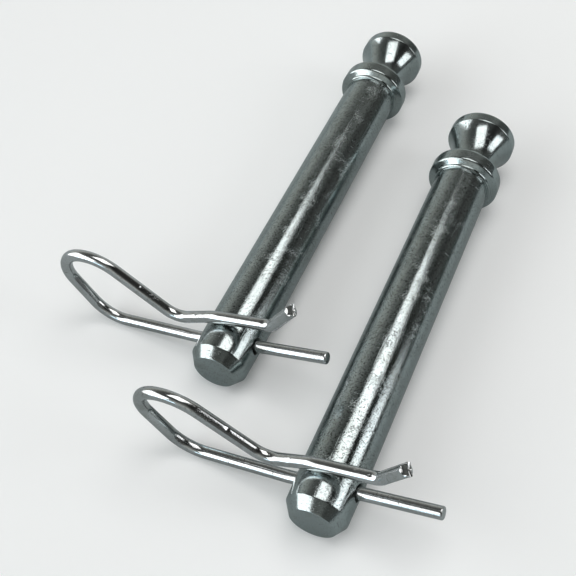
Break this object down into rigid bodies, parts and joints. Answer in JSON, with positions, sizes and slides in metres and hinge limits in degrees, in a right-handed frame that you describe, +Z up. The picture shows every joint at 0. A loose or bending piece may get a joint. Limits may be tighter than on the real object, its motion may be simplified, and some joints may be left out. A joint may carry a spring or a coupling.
{
  "type": "hitch pin lock",
  "caption": "Hitch pins with a turned collar and flared grip knob, each locked by a spring wire R-clip through a cross hole near its tip.",
  "frame": {"origin": "on the floor, under the middle of the pair", "axes": "+Y along the pins from tip to head, +Z up, the clips stand across the pins in planes square to them, loops towards -X"},
  "size_m": [0.1158, 0.166, 0.0316],
  "materials": {
    "pin_zinc": "clear zinc plate over a turned surface, bright with fine scuffs",
    "clip_zinc": "bright zinc plate over drawn spring wire"
  },
  "bodies": {
    "right_pin": {"right_pin": "pin_zinc"},
    "right_clip": {"right_clip": "clip_zinc"},
    "left_pin": {"left_pin": "pin_zinc"},
    "left_clip": {"left_clip": "clip_zinc"}
  },
  "joints": [
    {"name": "right_clip_slide", "type": "slide", "parent": "right_pin", "child": "right_clip", "axis": [-0.9665, 0.0059, -0.2565], "range_m": [0, 0.05]},
    {"name": "left_pin_lift", "type": "slide", "parent": "right_pin", "child": "left_pin", "axis": [0, 0, 1], "range_m": [0, 0.06]},
    {"name": "left_clip_slide", "type": "slide", "parent": "left_pin", "child": "left_clip", "axis": [-0.9665, 0.0059, -0.2565], "range_m": [0, 0.05]}
  ]
}
